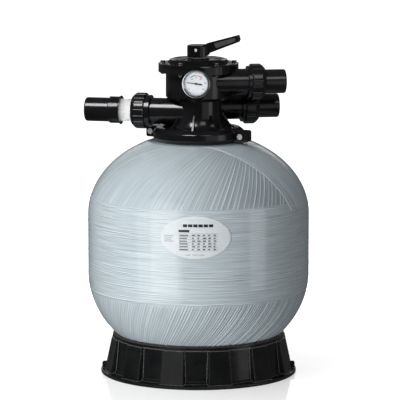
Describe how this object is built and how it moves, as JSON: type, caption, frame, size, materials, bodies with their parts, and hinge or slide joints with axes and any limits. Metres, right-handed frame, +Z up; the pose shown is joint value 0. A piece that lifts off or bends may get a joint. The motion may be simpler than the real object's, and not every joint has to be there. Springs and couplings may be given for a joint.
{
  "type": "sand filter tank",
  "caption": "Top-mount swimming-pool sand filter: round wound tank on a ring base, with a clamped multiport valve, side gauge, unions and lever handle.",
  "frame": {"origin": "on the floor, on the vertical axis of the tank, base ring and valve; the box's centre lies 6 mm to the left of it and 5 mm behind it, because the waste tail and the drain cap stand out", "axes": "+Z up; -Y is the front, where the gauge and the label are; +X is the right, where the pump and return ports are"},
  "size_m": [0.5376, 0.5362, 0.8135],
  "materials": {
    "tank_grp": "filament-wound glass fibre under a gloss gel coat, light blue-grey",
    "valve_black": "gloss moulded ABS",
    "base_black": "satin moulded polypropylene",
    "label_white": "laminated label",
    "chrome": "bright plate",
    "brass": "machined",
    "stainless": "stainless, lightly worn",
    "seal_rubber": "moulded, matt",
    "clear_tube": "clear moulded acrylic",
    "lens": "clear polycarbonate",
    "pvc_white": "white pipe and fingers",
    "dial_white": "printed dial",
    "needle_black": "satin paint",
    "washer_white": "acetal",
    "diverter_grey": "moulded, glass filled"
  },
  "bodies": {
    "tank": {"tank_shell": "tank_grp", "tank_label": "label_white", "neck_oring": "seal_rubber", "base_ring": "base_black", "clamp_half_front": "valve_black", "clamp_half_rear": "valve_black", "clamp_bolts": "stainless", "clamp_nuts": "stainless", "valve_body": "valve_black", "valve_lid": "valve_black", "lid_oring": "seal_rubber", "stem_orings": "seal_rubber", "lid_bolts": "stainless", "lid_nuts": "stainless", "spider_gasket": "seal_rubber", "gauge_stem": "brass", "gauge_case": "chrome", "gauge_bourdon": "brass", "gauge_dial": "dial_white", "gauge_lens": "lens", "gauge_bezel": "chrome", "pump_union_oring": "seal_rubber", "pump_tail": "valve_black", "return_union_oring": "seal_rubber", "return_tail": "valve_black", "waste_union_oring": "seal_rubber", "sight_glass": "clear_tube", "waste_tail": "valve_black", "standpipe": "pvc_white", "lateral_hub": "pvc_white", "laterals": "pvc_white", "top_diffuser": "pvc_white", "drain_spigot": "valve_black", "drain_locknut": "valve_black", "drain_oring": "seal_rubber"},
    "selector": {"slip_washer": "washer_white", "rotor_spring": "stainless"},
    "rotor": {"diverter_rotor": "diverter_grey", "handle_pin": "stainless"},
    "handle": {"handle": "valve_black"},
    "needle": {"gauge_needle": "needle_black"},
    "pump_nut": {"pump_union_nut": "valve_black"},
    "return_nut": {"return_union_nut": "valve_black"},
    "waste_nut": {"waste_union_nut": "valve_black"},
    "cap": {"drain_cap": "valve_black"}
  },
  "joints": [
    {"name": "selector_turn", "type": "hinge", "parent": "tank", "child": "selector", "pos_m": [0, 0, 0.75], "axis": [0, 0, 1], "continuous": true},
    {"name": "rotor_lift", "type": "slide", "parent": "selector", "child": "rotor", "axis": [0, 0, 1], "range_m": [0, 0.005], "deforming": ["rotor_spring"]},
    {"name": "lever_press", "type": "hinge", "parent": "rotor", "child": "handle", "pos_m": [0, 0, 0.777], "axis": [0.2756, 0.9613, 0], "range_deg": [0, 20], "stiffness_Nm_per_rad": 3, "springref_deg": -11.46},
    {"name": "needle_sweep", "type": "hinge", "parent": "tank", "child": "needle", "pos_m": [0, 0, 0.706], "axis": [0.0523, 0.9986, 0], "range_deg": [-53, 217], "stiffness_Nm_per_rad": 0.0005},
    {"name": "pump_nut_turn", "type": "hinge", "parent": "tank", "child": "pump_nut", "pos_m": [0.13908, -0.01711, 0.702], "axis": [0.9848, 0.1736, 0], "continuous": true},
    {"name": "return_nut_turn", "type": "hinge", "parent": "tank", "child": "return_nut", "pos_m": [0.12484, 0.06365, 0.635], "axis": [0.9848, 0.1736, 0], "continuous": true},
    {"name": "waste_nut_turn", "type": "hinge", "parent": "tank", "child": "waste_nut", "pos_m": [-0.13941, 0.00961, 0.63], "axis": [-0.9744, 0.225, 0], "continuous": true},
    {"name": "drain_cap_turn", "type": "hinge", "parent": "tank", "child": "cap", "pos_m": [0, 0.2388, 0.15], "axis": [0, 0.873, -0.4877], "continuous": true}
  ],
  "couplings": [
    {"joint": "rotor_lift", "follows": "lever_press", "m_per_rad": 0.0143}
  ]
}
